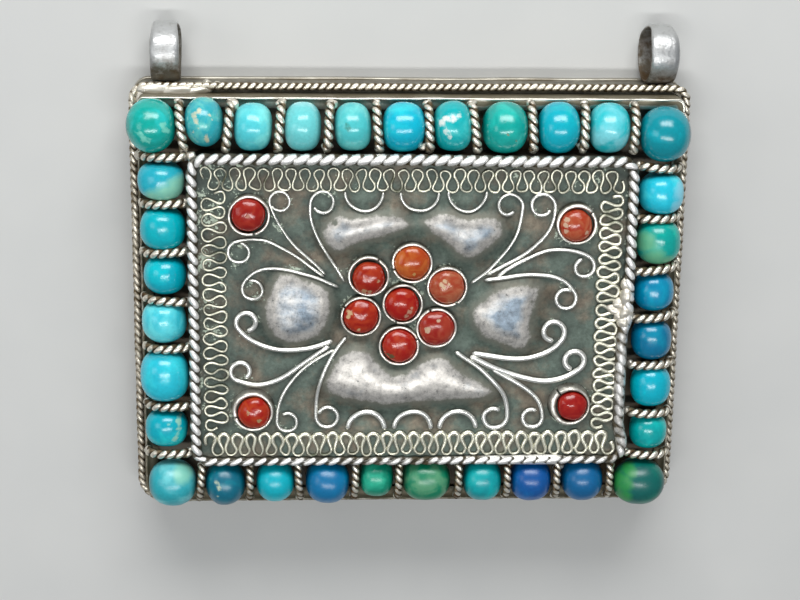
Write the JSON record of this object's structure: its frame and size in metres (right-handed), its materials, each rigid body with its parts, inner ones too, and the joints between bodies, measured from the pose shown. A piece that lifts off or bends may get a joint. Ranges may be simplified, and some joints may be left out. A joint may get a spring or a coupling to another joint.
{
  "type": "rectangular amulet box pendant",
  "caption": "Flat rectangular silver box pendant with turquoise beads round a raised embossed panel, coral stones, wire scrolls and two ring bails.",
  "frame": {"origin": "centre of the case's flat back face, where the pendant lies on its back", "axes": "+Z out of the pendant's face, +Y towards the two bails, +X across the width, to the viewer's right"},
  "size_m": [0.054, 0.0482, 0.0113],
  "materials": {
    "case_silver": "worn sheet silver with brown-grey tarnish in the corners, satin",
    "wire_silver": "polished high spots of soldered silver wire, dark in the twists",
    "panel_silver": "embossed silver, bright worn domes over a dark oxidised field",
    "bail_silver": "flat silver strip, scuffed, stained brown at the solder",
    "turquoise_blue": "polished blue turquoise",
    "turquoise_aqua": "polished pale to sky-blue turquoise, cream and brown matrix in some",
    "turquoise_green": "polished green turquoise, cracks and dark veins in some",
    "coral": "polished red coral with small pits"
  },
  "bodies": {
    "root": {"case_back": "case_silver", "case_front": "case_silver", "bead_wall": "case_silver", "panel_box": "case_silver", "outer_rope": "wire_silver", "panel_rope": "wire_silver", "filigree_band": "wire_silver", "scroll_wires": "wire_silver", "coral_settings": "wire_silver", "bead_dividers": "wire_silver", "panel_plate": "panel_silver", "bail_left": "bail_silver", "bail_right": "bail_silver", "turquoise_top_1": "turquoise_green", "turquoise_top_2": "turquoise_aqua", "turquoise_top_3": "turquoise_aqua", "turquoise_top_4": "turquoise_green", "turquoise_top_5": "turquoise_green", "turquoise_top_6": "turquoise_blue", "turquoise_top_7": "turquoise_green", "turquoise_top_8": "turquoise_green", "turquoise_top_9": "turquoise_blue", "turquoise_top_10": "turquoise_aqua", "turquoise_top_11": "turquoise_aqua", "turquoise_left_12": "turquoise_green", "turquoise_left_13": "turquoise_aqua", "turquoise_left_14": "turquoise_aqua", "turquoise_left_15": "turquoise_aqua", "turquoise_left_16": "turquoise_aqua", "turquoise_left_17": "turquoise_aqua", "turquoise_right_18": "turquoise_blue", "turquoise_right_19": "turquoise_green", "turquoise_right_20": "turquoise_blue", "turquoise_right_21": "turquoise_blue", "turquoise_right_22": "turquoise_aqua", "turquoise_right_23": "turquoise_aqua", "turquoise_bottom_24": "turquoise_green", "turquoise_bottom_25": "turquoise_blue", "turquoise_bottom_26": "turquoise_aqua", "turquoise_bottom_27": "turquoise_blue", "turquoise_bottom_28": "turquoise_green", "turquoise_bottom_29": "turquoise_green", "turquoise_bottom_30": "turquoise_aqua", "turquoise_bottom_31": "turquoise_blue", "turquoise_bottom_32": "turquoise_blue", "turquoise_bottom_33": "turquoise_green", "coral_1": "coral", "coral_2": "coral", "coral_3": "coral", "coral_4": "coral", "coral_5": "coral", "coral_6": "coral", "coral_7": "coral", "coral_8": "coral", "coral_9": "coral", "coral_10": "coral", "coral_11": "coral"}
  },
  "joints": []
}
